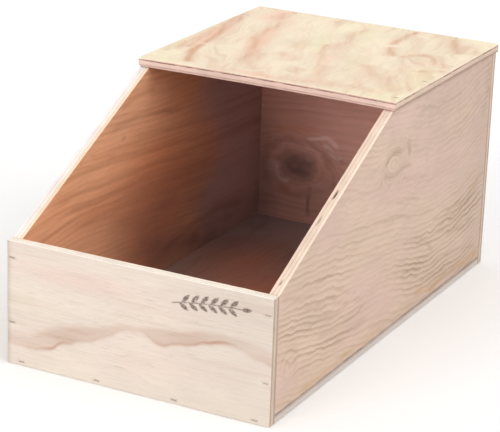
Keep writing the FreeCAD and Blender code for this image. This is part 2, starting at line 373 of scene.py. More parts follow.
def right_figure(u, v):
    """Fine ripples that fall gently to the back, round one tight eddy, and rise again at the end."""
    fall = 0.17 * np.minimum(u, 95) - 13 * smooth_step(u, 140, 230) + 5 * layered_noise(51, u / 120, v / 60)
    far = eye(u, v, SIDE_EDDY, (17, 11)) + 0.12 * soft_noise(56, u / 9, v / 7)
    near = 1 - smooth_step(far, 0.7, 2.4)
    shake = 1.4 * soft_noise(52, u / 13, v / 9) + 0.7 * soft_noise(53, u / 5, v / 4)
    swirl = 9 * blot(u, v, (-195, 36), (16, 13))
    level = (v + fall + swirl + shake * (1 - 0.6 * near)) / 5.6
    ring = level + near * (2.2 * far + 20 - level)
    tone = strokes(u, v, SIDE_STROKES) * (0.60 + 0.28 * soft_noise(57, u / 9, v / 5))
    warm = strokes(u, v, SIDE_WARM) * (0.7 + 0.4 * layered_noise(54, u / 18, v / 7))
    tint = 0.5 + 0.55 * layered_noise(55, u / 70, v / 34, 2) - 2.0 * warm
    tint += 0.4 * blot(u, v, (60, 140), (120, 50))
    tint -= 0.5 * blot(u, v, (-150, 80), (90, 50))
    tone = np.maximum(tone, 0.30 * warm)
    # Painted shade: a dark line along the foot, where the side meets the floor, and a broken dark line along
    # the top, under the roof's edge. The face also grows darker towards its back.
    foot = smooth_step(SIDE_LOW[Z] + 1.8 - v, -1.6, 1.6) * (0.8 + 0.3 * soft_noise(58, u / 6, v * 0))
    brow = smooth_step(v, SIDE_HIGH[Z] - 3.0, SIDE_HIGH[Z] - 0.8) * (0.6 + 0.6 * soft_noise(59, u / 4, v / 3))
    stain_and_shade = 0.10 * smooth_step(u, -60, 200) + 0.06 * smooth_step(u, 150, 215) + 0.8 * foot
    stain_and_shade += 0.6 * np.clip(brow, 0, 1)
    stain_and_shade += 0.10 * np.clip(layered_noise(152, u / 9, v / 5), 0, 1) * smooth_step(v, 100, 190)
    bold = np.full(len(u), 0.47)
    for strength, centre, half in SIDE_BOLD:
        bold = np.maximum(bold, strength * blot(u, v, centre, half, 4))
    return ring, tone, stain_and_shade, tint, bold


LEFT_STREAKS = [
    (0.5, 1.6, 5, [(-186, 127), (-140, 126), (-90, 123), (-40, 121), (20, 116), (90, 106)]),
    (0.5, 1.6, 5, [(-178, 112), (-140, 113), (-100, 110), (-50, 109), (0, 106), (60, 98), (140, 90)]),
    (0.45, 1.5, 5, [(-140, 143), (-100, 142), (-60, 141), (-20, 136), (40, 128), (110, 118)]),
    (0.4, 1.5, 4, [(-114, 154), (-84, 148), (-64, 143)]),
    (0.5, 1.6, 4, [(-86, 168), (-50, 171), (-10, 170), (14, 166), (60, 158)]),
    (0.35, 1.6, 5, [(-40, 153), (-10, 150), (30, 146), (90, 138)]),
    (0.35, 1.6, 6, [(-160, 98), (-120, 95), (-70, 92), (-20, 90), (40, 82), (120, 74)]),
    (0.3, 1.8, 6, [(-80, 79), (-10, 74), (50, 66), (120, 56)]),
    (0.3, 2, 7, [(-40, 60), (30, 50), (90, 46), (160, 40)]),
    (0.35, 1.6, 5, [(-62, 186), (-30, 192), (4, 191)]),
    (0.5, 2.5, 6, [(10, 20), (40, 28), (80, 34), (130, 36), (200, 26)]),
    (0.55, 1.2, 1.4, [(-59, 156), (-55, 158), (-51, 157)]),
]
LEFT_PALE = [
    (0.4, 3, 3, [(-66, 155), (-64, 162), (-56, 165), (-48, 161), (-47, 154)]),
    (0.3, 4, 5, [(18, 153), (26, 155), (34, 153)]),
]
# Soft patches of painted shade on the inner left wall: (depth, centre, half sizes).
LEFT_SHADE = [
    (0.32, (34, 62), (100, 46)),
    (0.34, (-28, 42), (66, 30)),
    (0.16, (-20, 88), (90, 24)),
    (0.1, (-100, 84), (64, 24)),
    (0.11, (-55, 178), (52, 24)),
]


def left_inner_figure(u, v):
    """Long dark streaks that run down to the back, one small knot in a faint pale ring, and painted shade."""
    slant = 24 * smooth_step(u, -160, 220) - 6 * smooth_step(u, -219, -120)
    ring = (v + slant + 5 * layered_noise(61, u / 190, v / 40)) / 5.5
    tone = strokes(u, v, LEFT_STREAKS) * (0.85 + 0.3 * layered_noise(62, u / 90, v / 3))
    tone = np.maximum(tone, 0.3 * patches(63, u / 170, (v + slant) / 5, 0.2, 1.0))
    tint = 0.4 * layered_noise(64, u / 110, v / 50, 2) + strokes(u, v, LEFT_PALE)
    # The grey pink towards the back is the cool colour of painted shade; two yellow blots warm the wall in
    # the middle and low at the front.
    tint += 1.9 * smooth_step(u, 10, 190) - 1.3 * blot(u, v, (16, 96), (85, 60))
    tint -= 0.7 * blot(u, v, (-14, 42), (70, 32))
    # Painted shade: darker towards the back under the roof, in the soft patches of LEFT_SHADE, and along the
    # foot where the front board shades the wall.
    stain_and_shade = 0.06 * smooth_step(u, -100, -20) + 0.30 * smooth_step(u, -20, 120)
    for depth, centre, half in LEFT_SHADE:
        stain_and_shade += depth * blot(u, v, centre, half)
    foot = 0.42 * (1 - smooth_step(v, 14, 56)) * smooth_step(u, -70, 20)
    stain_and_shade += foot * (1 - 0.5 * smooth_step(u, 90, 200))
    return ring, tone, stain_and_shade, tint, np.ones(len(u))


BACK_KNOT = (-74, 66)


def back_inner_figure(u, v):
    """A big oval knot low on the left with rings round it, a check under it, pale wavy arcs and painted
    shade.
    """
    wobble = 0.16 * soft_noise(71, u / 11, v / 9) + 0.07 * soft_noise(75, u / 4, v / 4)
    far = eye(u, v, BACK_KNOT, (27, 20)) + wobble
    level = (v + 8 * layered_noise(72, u / 120, v / 40)) / 9.0
    around = 3.6 * far
    near = 1 - smooth_step(far, 0.8, 2.2)
    ring = level + near * (around - level)
    core = (1 - smooth_step(far, 0.35, 1.0)) * (0.85 + 0.3 * soft_noise(76, u / 6, v / 5))
    rim = np.exp(-(((far - 1.45) / 0.16) ** 2)) * (0.6 + 0.6 * soft_noise(73, u / 14, v / 14))
    halo = np.exp(-(((far - 1.15) / 0.13) ** 2)) * (0.6 + 0.5 * soft_noise(77, u / 12, v / 12))
    dark_lines_and_roof_shadow = [
        (1, 1.2, 1.6, [(-60, 50), (-60, 38), (-61, 28), (-60, 13)]),
        (0.45, 1, 2.4, [(-104, 84), (-94, 89), (-78, 90), (-64, 88)]),
        (0.5, 1, 2, [(-44, 90), (-36, 86), (-28, 79), (-22, 76)]),
        # painted shadow of the roof: a broad soft band high across the wall
        (0.25, 3, 7, [(-116, 168), (-40, 162), (40, 168), (118, 162)]),
    ]
    paler = [
        (2, 1.4, 2.2, [(-66, 96), (-52, 98), (-42, 100), (-34, 96), (-30, 90)]),
        (2.2, 1.4, 1.8, [(-48, 93), (-40, 90), (-33, 83), (-26, 79)]),
        (1.6, 1.2, 2.4, [(-101, 70), (-98, 60), (-96, 52), (-90, 48), (-80, 50)]),
    ]
    warm = [
        (0.45, 9, 11, [(-106, 98), (-88, 104), (-66, 106), (-48, 104)]),
        (0.5, 9, 9, [(-100, 42), (-80, 40), (-58, 42)]),
        (0.6, 9, 12, [(-44, 80), (-42, 66), (-46, 50)]),
    ]
    tone = np.maximum(strokes(u, v, dark_lines_and_roof_shadow), 0.8 * core)
    tone = np.maximum(tone, 0.45 * rim)
    tint = 0.1 + 0.3 * layered_noise(74, u / 80, v / 50, 2)
    tint += 1.2 * strokes(u, v, paler) + 0.9 * halo - 1.6 * strokes(u, v, warm)
    # Painted shade round the knot, towards the bottom, towards the left and in the lower left corner; the
    # knot's core is a real stain.
    shade = blot(u, v, (-70, 60), (58, 36))
    stain_and_shade = 0.28 * core + 0.30 * shade + 0.28 * smooth_step(-v, -80, -20) + 0.12 * smooth_step(-u, 40, 110)
    stain_and_shade += 0.24 * smooth_step(-u, 86, 117) * smooth_step(-v, -140, -95)
    return ring, tone, stain_and_shade, tint, np.ones(len(u))


def floor_figure(u, v):
    """A quiet worn face, redder in its middle, with painted shade that greys and darkens it towards the back
    and the left.
    """
    ring, tone, stain_and_shade, tint, bold = plain_figure(270, 8.0, 24)(u, v)
    warm = blot(u, v, (4, 0), (110, 100))
    # The grey tint towards the back and the stains towards the back and the left are painted shade.
    tint += 1.2 * smooth_step(u, 90, 180) - 1.4 * warm
    stain_and_shade += 0.1 * smooth_step(u, 0, 120) + 0.20 * smooth_step(-v, 40, 105)
    return ring, tone, stain_and_shade, tint, bold


# ---- ink mark on the front

SPRIG_START, SPRIG_END = np.array([34.0, 90.0]), np.array([98.0, 97.0])
SPRIG_PAIRS = 6
SPRIG_BOW = 1.6
STEM_HALF = 0.5
LEAF_HALF = (5.2, 1.9)
LEAF_LEAN = math.radians(38)
INK_LOW, INK_HIGH = SPRIG_START - (2, 8), SPRIG_END + (14, 11)
INK_STEP = 0.65
FAR_AWAY = 9.0


def sprig_ink(u, v):
    """A plain stamped sprig: a thin stem with pairs of small leaves and one at its tip."""
    run = SPRIG_END - SPRIG_START
    length = np.hypot(*run)
    ahead = run / length
    s = (u - SPRIG_START[0]) * ahead[0] + (v - SPRIG_START[1]) * ahead[1]
    t = (v - SPRIG_START[1]) * ahead[0] - (u - SPRIG_START[0]) * ahead[1]
    t = t - SPRIG_BOW * np.sin(np.clip(s / length, 0, 1) * math.pi)
    away = np.where((s > 0) & (s < length), np.abs(t) - STEM_HALF, FAR_AWAY)
    for k in range(2 * SPRIG_PAIRS + 1):
        last = k == 2 * SPRIG_PAIRS
        turn = 0.0 if last else LEAF_LEAN * (1 if k % 2 else -1)
        root = length - 1.0 if last else length * (0.10 + 0.84 * (k // 2 + 0.25 * (k % 2)) / SPRIG_PAIRS)
        a = (s - root) * math.cos(turn) + t * math.sin(turn) - LEAF_HALF[0] - 0.6
        b = -(s - root) * math.sin(turn) + t * math.cos(turn)
        bulge = LEAF_HALF[1] * np.clip(1 - (a / LEAF_HALF[0]) ** 2, 0, 1)
        leaf = np.where(np.abs(a) < LEAF_HALF[0], np.abs(b) - bulge, FAR_AWAY)
        away = np.minimum(away, leaf)
    return 1 - smooth_step(away, -0.45, 0.45)


# ---- staples, read from the frame

CROWN_SINK = 0.25  # how far a crown lies under the face of its board
AT_FACE = 0.2  # a CAD crown this close to a face belongs to it
STAPLE_GAP = 9.0  # more than a staple's width, less than the space between two
POCKET_DEPTH = 0.6
POCKET_MARGIN = 0.35
POCKET_WALL = 0.35
NOSE_DENT, NOSE_REACH = 0.12, 5.5


def staple_boxes(node):
    """Lowest and highest corner, in millimetres, of each staple in a CAD node."""
    points = points_mm(node)
    row = int(np.argmax(np.ptp(points, axis=0)))
    points = points[np.argsort(points[:, row])]
    breaks = np.flatnonzero(np.diff(points[:, row]) > STAPLE_GAP) + 1
    return [(part.min(0), part.max(0)) for part in np.split(points, breaks)]


STAPLES = {n: staple_boxes(n) for n in sorted(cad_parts) if n.startswith("staples_")}


# ---- board meshes

EDGE_BAND = [0.0, 0.22, 0.5, 0.9, 1.5, 2.4, 3.6]
ARRIS_RADIUS, ARRIS_LEAST, ARRIS_MOST = 0.48, 0.15, 3.0
WORN_REACH = 4.5
CUT_ROUGHNESS = 0.10
GLUE_GROOVE, GLUE_HALF = 0.10, 0.14
VOID_DARK = 1.5  # a void this deep takes the full painted shade
WAVE_HEIGHT, FIBRE_HEIGHT, LATEWOOD_HEIGHT = 0.14, 0.05, 0.06
RELIEF_MOST = 0.2
INNER_SHIFT = 900.0  # moves the noise along, so that the inner face has a relief of its own


def spread(low, high, step, extra=()):
    """Line positions from low to high: close at both ends, even between them, with extras kept."""
    inner_low, inner_high = low + EDGE_BAND[-1], high - EDGE_BAND[-1]
    count = max(2, round((inner_high - inner_low) / step))
    even = np.linspace(inner_low, inner_high, count + 1)
    even = [e for e in even if all(abs(e - x) > 0.45 * step for x in extra)]
    band = [low + e for e in EDGE_BAND[:-1]] + [high - e for e in EDGE_BAND[:-1]]
    return np.array(sorted(set(np.round(list(even) + band + list(extra), 4))))


def nearest_inside(u, v, outline, inset):
    """Each point moved, at the most, to the nearest place inside the convex outline drawn in by inset."""
    q = np.stack([u, v], 1)
    following = outline[1:] + outline[:1]
    for _ in range(3):
        for start, end in zip(outline, following):
            along = np.array(end, float) - start
            normal = np.array([along[1], -along[0]]) / np.hypot(*along)
            over = (q - start) @ normal + inset
            q -= np.maximum(over, 0)[:, None] * normal
    return q


class Board:
    """One plywood board: where its faces lie, which way its grain runs and how it is worn."""

    def __init__(self, node, slot, grain, across, outer_sign, face_ply, steps):
        self.node, self.slot = node, slot
        self.axes = (grain, across, 3 - grain - across)
        self.outer_sign = outer_sign
        self.face_ply = face_ply
        self.steps = steps
        self.low, self.high = box_mm(node)
        through = self.axes[2]
        self.thickness = self.high[through] - self.low[through]
        self.outer_at = (self.high if outer_sign > 0 else self.low)[through]
        self.voids = []
        self.worn = []
        self.cup = 0.0
        self.pocket = POCKET_DEPTH
        self.ink = None

    def outline(self):
        """Corners of the face in order, turning left, as (along, across)."""
        a, b, _ = self.axes
        return [
            (self.low[a], self.low[b]),
            (self.high[a], self.low[b]),
            (self.high[a], self.high[b]),
            (self.low[a], self.high[b]),
        ]

    def top(self, u):
        """Highest point across the board at each place along it."""
        return np.full(len(u), self.high[self.axes[1]])

    def pockets(self):
        """Staple crowns on the outer face: (along, across, half length along, half length across)."""
        a, b, c = self.axes
        found = []
        for boxes in STAPLES.values():
            for low, high in boxes:
                crown_at = (high if self.outer_sign > 0 else low)[c]
                inside = all(low[k] > self.low[k] and high[k] < self.high[k] for k in (a, b))
                if inside and abs(crown_at - self.outer_at) < AT_FACE:
                    middle, half = (low + high) / 2, (high - low) / 2
                    found.append((middle[a], middle[b], half[a], half[b]))
        return found


class SideBoard(Board):
    """A side, with its top front corner cut on a slope."""

    def outline(self):
        base, end, top, _ = super().outline()
        return [base, end, top, (SLOPE_TOP_Y, top[1]), (base[0], SLOPE_LOW_Z)]

    def top(self, u):
        rise = straight_step(u, self.low[self.axes[0]], SLOPE_TOP_Y)
        return SLOPE_LOW_Z + rise * (self.high[self.axes[1]] - SLOPE_LOW_Z)


def depth_lines(thickness, face_ply):
    """Places of the lattice through the board, close at the arrises and at the glue lines."""
    glue = [face_ply - GLUE_HALF, face_ply, face_ply + GLUE_HALF]
    core = np.linspace(face_ply + GLUE_HALF, thickness - face_ply - GLUE_HALF, 6)[1:-1]
    half = EDGE_BAND[1:4] + [(EDGE_BAND[3] + face_ply) / 2] + glue
    return np.array([0.0] + half + list(core) + [thickness - x for x in reversed(half)] + [thickness])


def grid_lines(board, pockets):
    """Line positions along and across the face, with extra ones at the staples and under the ink."""
    extra_u, extra_v = [], []
    for pu, pv, hu, hv in pockets:
        for reach in (0.0, POCKET_WALL):
            extra_u += [pu - hu - POCKET_MARGIN - reach, pu + hu + POCKET_MARGIN + reach]
            extra_v += [pv - hv - POCKET_MARGIN - reach, pv + hv + POCKET_MARGIN + reach]
    if isinstance(board, SideBoard):
        extra_u.append(SLOPE_TOP_Y)
    if board.ink:
        extra_u += list(np.arange(INK_LOW[0], INK_HIGH[0], INK_STEP))
        extra_v += list(np.arange(INK_LOW[1], INK_HIGH[1], INK_STEP))
    a, b, _ = board.axes
    lines_u = spread(board.low[a], board.high[a], board.steps[0], sorted(set(extra_u)))
    lines_v = spread(board.low[b], board.high[b], board.steps[1], sorted(set(extra_v)))
    return lines_u, lines_v


def face_grid(board, lines_u, lines_v):
    """Where the lines of the face cross, squeezed to lie under the board's top edge."""
    grid_u, grid_v = np.meshgrid(lines_u, lines_v, indexing="ij")
    b = board.axes[1]
    bottom, full = board.low[b], board.high[b] - board.low[b]
    height = (board.top(grid_u.ravel()) - bottom).reshape(grid_u.shape)
    up = grid_v - bottom
    band = EDGE_BAND[-1]
    middle = band + (up - band) * (height - 2 * band) / (full - 2 * band)
    up = np.where(up <= band, up, np.where(up >= full - band, height - (full - up), middle))
    return grid_u, bottom + up


def lattice(board, pockets):
    """Rest points (u, v, depth), face codes, quads and material slots of the board's closed surface.

    Depth runs from the outer face. The codes are 0 outer face, 1 inner face and 2 edge.
    """
    grid_u, grid_v = face_grid(board, *grid_lines(board, pockets))
    nu, nv = grid_u.shape
    index = np.arange(nu * nv).reshape(nu, nv)
    loop = np.concatenate([index[:-1, 0], index[-1, :-1], index[:0:-1, -1], index[0, :0:-1]])
    depths = depth_lines(board.thickness, board.face_ply)
    count, ring_size = nu * nv, len(loop)
    flat_u, flat_v = grid_u.ravel(), grid_v.ravel()
    u = np.concatenate([flat_u, flat_u] + [flat_u[loop]] * (len(depths) - 2))
    v = np.concatenate([flat_v, flat_v] + [flat_v[loop]] * (len(depths) - 2))
    faces = [np.zeros(count), np.full(count, board.thickness)]
    depth = np.concatenate(faces + [np.full(ring_size, d) for d in depths[1:-1]])
    code = np.concatenate([np.zeros(count), np.ones(count), np.full(len(u) - 2 * count, 2)])
    face = np.stack([index[:-1, :-1], index[1:, :-1], index[1:, 1:], index[:-1, 1:]], -1).reshape(-1, 4)
    quads, slots = [face, face[:, ::-1] + count], [0] * len(face) + [1] * len(face)
    rows = [loop]
    rows += [2 * count + k * ring_size + np.arange(ring_size) for k in range(len(depths) - 2)]
    rows.append(loop + count)
    for upper, lower in zip(rows, rows[1:]):
        quads.append(np.stack([upper, lower, np.roll(lower, -1), np.roll(upper, -1)], -1))
        slots += [2] * ring_size
    return u, v, depth, code, np.vstack(quads), np.array(slots)


def arris_radius(board, u, v, seed):
    """Radius of the worn arris at each point: it wanders, and it is larger at a worn corner."""
    wander = 0.22 * layered_noise(seed, u / 16, v / 16) + 0.10 * soft_noise(seed + 4, u / 3, v / 3)
    radius = ARRIS_RADIUS + wander
    for cu, cv, size in board.worn:
        radius += size * np.exp(-(((u - cu) ** 2 + (v - cv) ** 2) / WORN_REACH**2))
    return np.clip(radius, ARRIS_LEAST, ARRIS_MOST)


def pocket_depth(u, v, pockets, deep):
    """How far each point of the outer face is pressed in by the staples and the gun's nose."""
    sunk = np.zeros(len(u))
    for pu, pv, hu, hv in pockets:
        du = np.abs(u - pu) - hu - POCKET_MARGIN
        dv = np.abs(v - pv) - hv - POCKET_MARGIN
        out = np.maximum(du, dv)
        sunk = np.maximum(sunk, deep * (1 - smooth_step(out, -0.05, 0.3)))
        dent = np.hypot(u - pu, v - pv) / NOSE_REACH
        sunk = np.maximum(sunk, NOSE_DENT * np.exp(-(dent**2)))
    return sunk


def cut_depth(board, u, v, depth, seed):
    """How far each point of a cut edge lies in, in all and by voids in the core alone."""
    ply, thickness = board.face_ply, board.thickness
    from_glue = np.minimum(abs(depth - ply), abs(depth - thickness + ply))
    sunk = GLUE_GROOVE * np.exp(-((from_glue / 0.13) ** 2))
    in_core = smooth_step(depth, ply, ply + 0.3) * smooth_step(thickness - depth, ply, ply + 0.3)
    sunk += CUT_ROUGHNESS * (0.6 + in_core) * abs(soft_noise(seed, (u + v) / 0.9, depth / 0.8))
    inner_half = smooth_step(depth, thickness / 2 - 0.3, thickness / 2 + 0.5)
    torn = 0.8 + 0.4 * soft_noise(seed + 3, u / 2, depth / 1.5)
    hole = np.zeros(len(u))
    for cu, cv, length, deep in board.voids:
        away = np.hypot(u - cu, v - cv) / length
        shape = np.exp(-(away**4)) * in_core * inner_half * torn
        hole = np.maximum(hole, deep * shape)
    return sunk + hole, hole


def cup_lift(board, along, across):
    """How far a cupped board stands up: most in the middle of its low end, nothing at its high end."""
    a, b, _ = board.axes
    middle = (board.low[b] + board.high[b]) / 2
    half = (board.high[b] - board.low[b]) / 2
    bow = 1 - ((across - middle) / half) ** 2
    return board.cup * bow * (1 - straight_step(along, board.low[a], board.high[a]))


def add_layer(mesh, name, values):
    """One number at each point of the mesh, which the materials read by its name."""
    layer = mesh.attributes.new(name, "FLOAT", "POINT")
    layer.data.foreach_set("value", values.astype(np.float32))


def place_piece(mesh, name, node):
    """Puts a finished mesh in the scene, in the place of one CAD node."""
    mesh.polygons.foreach_set("use_smooth", np.ones(len(mesh.polygons), bool))
    mesh.validate()
    mesh.update()
    piece = bpy.data.objects.new(name, mesh)
    bpy.context.scene.collection.objects.link(piece)
    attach(piece, "root")
    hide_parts(node)


def build_board(board, outer_figure, inner_figure, materials, seed):
    """Makes the board's mesh with its displacement, its attributes and its three materials."""
    pockets = board.pockets()
    u, v, depth, code, quads, slots = lattice(board, pockets)
    a, b, c = board.axes
    radius = arris_radius(board, u, v, seed)
    inner = nearest_inside(u, v, board.outline(), radius)
    core = np.clip(depth, radius, board.thickness - radius)
    away = np.stack([u - inner[:, 0], v - inner[:, 1], depth - core], 1)
    away /= np.maximum(np.linalg.norm(away, axis=1), 1e-9)[:, None]
    cut = away[:, 0] ** 2 + away[:, 1] ** 2
    rings, tones, stains_and_shade, tints, bolds = (np.zeros(len(u)) for _ in range(5))
    for face_code, figure in ((0, outer_figure), (1, inner_figure)):
        on = code == face_code
        rings[on], tones[on], stains_and_shade[on], tints[on], bolds[on] = figure(u[on], v[on])
    shift = np.where(code == 1, INNER_SHIFT, 0.0)
    relief = WAVE_HEIGHT * layered_noise(seed + 20, (u + shift) / 45, (v + shift) / 30)
    relief += FIBRE_HEIGHT * soft_noise(seed + 21, (u + shift) / 14, (v + shift) / 2.6)
    relief += LATEWOOD_HEIGHT * np.clip(tones, 0, 1)
    outer_face = (code == 0) & (away[:, 2] < -0.5)
    relief -= np.where(outer_face, pocket_depth(u, v, pockets, board.pocket), 0)
    sunk, hole = cut_depth(board, u, v, depth, seed + 30)
    push = (1 - cut) * np.minimum(relief, RELIEF_MOST) - cut * sunk
    local = np.stack([inner[:, 0], inner[:, 1], core], 1) + away * (radius + push)[:, None]
    points = np.zeros((len(u), 3))
    points[:, a], points[:, b] = local[:, 0], local[:, 1]
    points[:, c] = board.outer_at - board.outer_sign * local[:, 2]
    points[:, c] += cup_lift(board, points[:, a], points[:, b])
    handed = np.linalg.det(np.eye(3)[list(board.axes)]) * board.outer_sign
    if handed < 0:
        quads = quads[:, ::-1]
    mesh = bpy.data.meshes.new(board.node + "_finished")
    mesh.from_pydata((points * MM).tolist(), [], quads.tolist())
    mesh.polygons.foreach_set("material_index", slots.astype(np.int32))
    # Voids in the core take painted shade by their depth.
    stains_and_shade = np.clip(stains_and_shade + np.clip(hole / VOID_DARK, 0, 1), 0, 1)
    layers = {"ring": rings, "figure": tones, "tint": tints, "bold": bolds, "stain_and_shade": stains_and_shade}
    for name, values in layers.items():
        add_layer(mesh, name, values)
    add_layer(mesh, "end", away[:, 0] ** 2)
    if board.ink:
        add_layer(mesh, "ink", board.ink(u, v) * (code == 0))
    layer = mesh.attributes.new("grain", "FLOAT_VECTOR", "POINT")
    grain = np.stack([u, v, depth], 1) * MM
    layer.data.foreach_set("vector", grain.astype(np.float32).ravel())
    for material in materials:
        mesh.materials.append(material)
    place_piece(mesh, board.node + "_panel", board.node)


# ---- materials


def linear(colour):
    """A colour of 0 to 255 on screen, in the linear values that nodes take."""
    parts = [c / 255 for c in colour]
    parts = [c / 12.92 if c <= 0.04045 else ((c + 0.055) / 1.055) ** 2.4 for c in parts]
    return (*parts, 1.0)


class Nodes:
    """A short way to write the nodes of one material."""

    def __init__(self, name):
        self.material = bpy.data.materials.new(name)
        self.material.use_nodes = True
        self.tree = self.material.node_tree
        self.tree.nodes.clear()

    def add(self, kind, inputs=(), **settings):
        made = self.tree.nodes.new(kind)
        for key, value in settings.items():
            setattr(made, key, value)
        for socket, value in dict(inputs).items():
            self.feed(made.inputs[socket], value)
        return made

    def feed(self, socket, value):
        if isinstance(value, bpy.types.NodeSocket):
            self.tree.links.new(value, socket)
        else:
            socket.default_value = value

    def attribute(self, name, output="Fac"):
        return self.add("ShaderNodeAttribute", attribute_name=name).outputs[output]

    def math(self, operation, first, second=0.0, third=0.0, clamp=False):
        inputs = {0: first, 1: second, 2: third}
        return self.add("ShaderNodeMath", inputs, operation=operation, use_clamp=clamp).outputs[0]

    def times(self, first, *others, clamp=False):
        """All the values multiplied together."""
        for other in others:
            first = self.math("MULTIPLY", first, other, clamp=clamp)
        return first

    def line(self, value, slope, start):
        """Value times slope, plus start."""
        return self.math("MULTIPLY_ADD", value, slope, start)

    def noise(self, place, scales, detail=2.0, roughness=0.5):
        """Noise that is drawn out by its own scale along each axis."""
        scaled = self.add("ShaderNodeVectorMath", {0: place, 1: scales}, operation="MULTIPLY")
        inputs = {"Vector": scaled.outputs[0], "Scale": 1.0, "Detail": detail, "Roughness": roughness}
        return self.add("ShaderNodeTexNoise", inputs).outputs["Fac"]

    def span(self, value, low, high, out_low=0.0, out_high=1.0):
        """Value carried from low..high to out_low..out_high, held at both ends."""
        inputs = {"Value": value, "From Min": low, "From Max": high}
        inputs.update({"To Min": out_low, "To Max": out_high})
        return self.add("ShaderNodeMapRange", inputs, interpolation_type="SMOOTHSTEP").outputs[0]

    def mix(self, factor, first, second, blend="MIX"):
        """Two colours mixed: each is a socket, or a plain colour of 0 to 255 on screen."""
        node = self.add("ShaderNodeMix", {0: factor}, data_type="RGBA", blend_type=blend)
        for socket, colour in ((6, first), (7, second)):
            self.feed(node.inputs[socket], linear(colour) if isinstance(colour, tuple) else colour)
        return node.outputs[2]

    def shaded(self, colour, *shades):
        """A colour multiplied by every shade."""
        shade = self.times(*shades)
        grey = self.add("ShaderNodeCombineColor", {0: shade, 1: shade, 2: shade}).outputs[0]
        return self.mix(1.0, colour, grey, "MULTIPLY")

    def finish(self, colour, roughness, height, distance, **extra):
        bump = self.add("ShaderNodeBump", {"Height": height, "Distance": distance, "Strength": 1.0})
        inputs = {"Base Color": colour, "Roughness": roughness, "Normal": bump.outputs[0]}
        inputs.update(extra)
        shader = self.add("ShaderNodeBsdfPrincipled", inputs)
        self.add("ShaderNodeOutputMaterial", {"Surface": shader.outputs[0]})
        return self.material


# Colours that stains and painted shade mix towards.
GREY_DIRT_AND_SHADE, BROWN_DIRT_AND_SHADE, RED_DIRT_AND_SHADE = (100, 84, 80), (95, 76, 74), (104, 74, 66)
# A grey that clouds an edge, and the painted shade inside voids.
CLOUD_GREY, VOID_SHADE_BROWN = (168, 158, 152), (62, 40, 30)


def veneer(name, early, late, strong, pink, yellow, ring_tone, patchy, fibre, mottle,
           shade_and_dirt_colour=GREY_DIRT_AND_SHADE, ink=None):
    """A sanded softwood face: rings, strong latewood, fibres, fine checks, stains and painted shade, and
    tints.
    """
    n = Nodes(name)
    grain = n.attribute("grain", "Vector")
    ring, figure = n.attribute("ring"), n.attribute("figure")
    stain_and_shade, tint = n.attribute("stain_and_shade"), n.attribute("tint")
    ragged = n.noise(grain, (60, 700, 1), 3.0)
    counted = n.math("ADD", ring, n.line(ragged, 0.24, -0.12))
    part = n.math("FRACT", counted)
    each = n.add("ShaderNodeTexWhiteNoise", {"W": n.math("FLOOR", counted)}, noise_dimensions="1D")
    patches = n.noise(grain, (9, 22, 1))
    tone = n.times(
        n.span(part, 0.25, 0.86),
        n.span(part, 0.93, 1.0, 1.0, 0.0),
        n.span(each.outputs["Value"], 0.0, 1.0, 0.35, 1.0),
        n.span(patches, 0.36, 0.64, 1 - patchy, 1.0),
        n.times(n.attribute("bold"), ring_tone),
    )
    fibres = n.noise(grain, (28, 950, 20), 4.0, 0.6)
    fine = n.noise(grain, (130, 3400, 60), 3.0, 0.6)
    clouds = n.noise(grain, (14, 38, 4), 3.0, 0.55)
    checks = n.span(n.noise(grain, (45, 1500, 9)), 0.66, 0.74)
    colour = n.mix(tone, early, late)
    colour = n.mix(n.span(tint, 0.0, 1.4, 0.0, 0.8), colour, pink)
    colour = n.mix(n.span(tint, 0.0, -1.4, 0.0, 0.8), colour, yellow)
    figured = n.times(figure, n.span(fibres, 0.25, 0.75, 0.78, 1.12), clamp=True)
    colour = n.mix(figured, colour, strong)
    colour = n.shaded(
        colour,
        n.span(fibres, 0.2, 0.8, 1 - 0.16 * fibre, 1 + 0.07 * fibre),
        n.span(fine, 0.2, 0.8, 1 - 0.10 * fibre, 1 + 0.05 * fibre),
        n.span(clouds, 0.25, 0.75, 1 - 0.13 * mottle, 1 + 0.05 * mottle),
        n.line(checks, -0.22 * fibre, 1.0),
    )
    # Stains and painted shade, broken up by the clouds.
    shade_and_dirt_share = n.times(stain_and_shade, n.span(clouds, 0.2, 0.7, 0.7, 1.1), clamp=True)
    colour = n.mix(shade_and_dirt_share, colour, shade_and_dirt_colour)
    if ink:
        worn = n.noise(grain, (420, 900, 1), 3.0, 0.6)
        inked = n.times(n.attribute("ink"), n.span(worn, 0.30, 0.56, 0.25, 0.88))
        colour = n.mix(inked, colour, ink)
    rough = n.line(figured, -0.10, n.line(fibres, 0.22, 0.52))
    height = n.line(fibres, 0.45, n.times(tone, 0.5))
    height = n.line(fine, 0.30, height)
    height = n.line(figured, 0.35, height)
    height = n.line(checks, -0.8, height)
    return n.finish(colour, rough, height, 0.00016)


